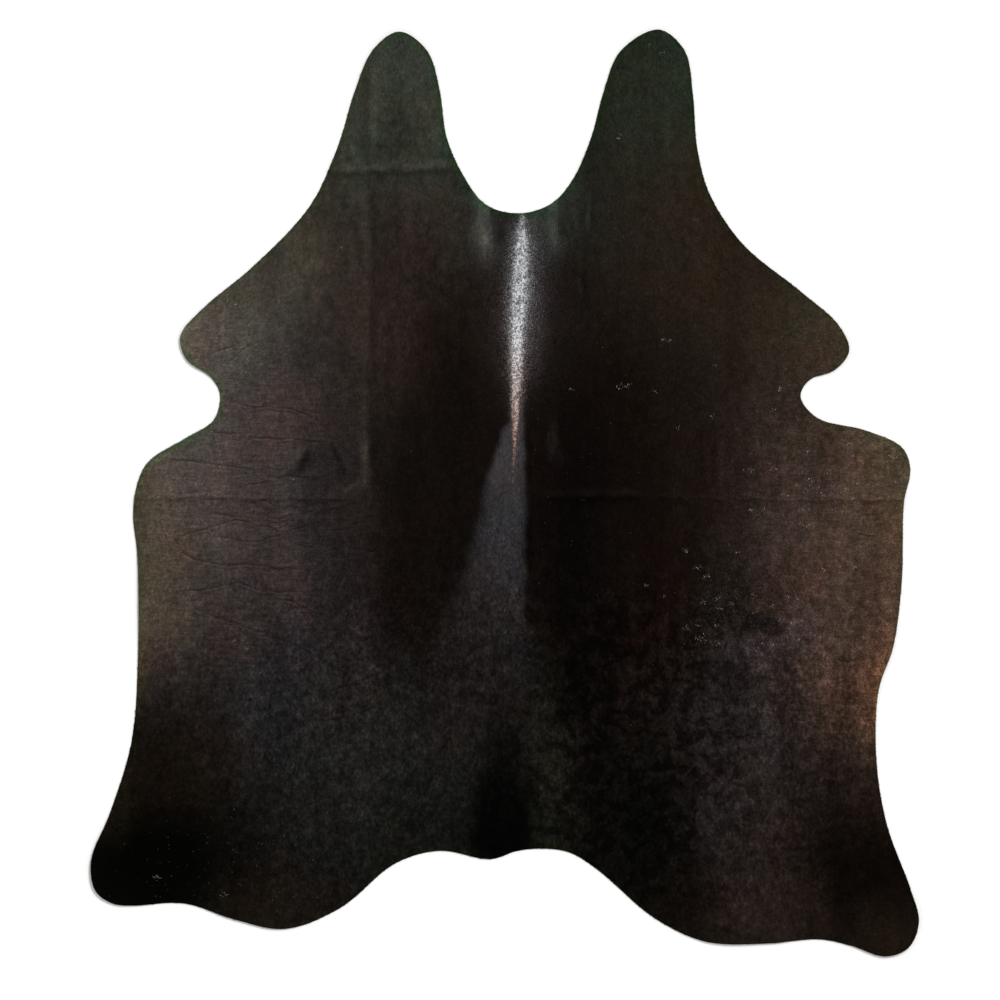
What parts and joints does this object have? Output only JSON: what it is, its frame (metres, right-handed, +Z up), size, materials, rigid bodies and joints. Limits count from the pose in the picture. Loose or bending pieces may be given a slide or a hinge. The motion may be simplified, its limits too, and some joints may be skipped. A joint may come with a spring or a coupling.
{
  "type": "cowhide rug",
  "caption": "Whole cowhide floor rug with its hair on: one flat hide with neck flaps, fore and hind shanks and belly edges.",
  "frame": {"origin": "On the floor under the middle of the hide's box.", "axes": "+X across the hide to its right side seen from above with the neck ahead, +Y along the back towards the neck, +Z up out of the hair side."},
  "size_m": [1.961, 2.195, 0.0108],
  "materials": {
    "hide": "short glossy hair, very dark brown with a white streak at the neck"
  },
  "bodies": {
    "root": {"hide": "hide"}
  },
  "joints": []
}
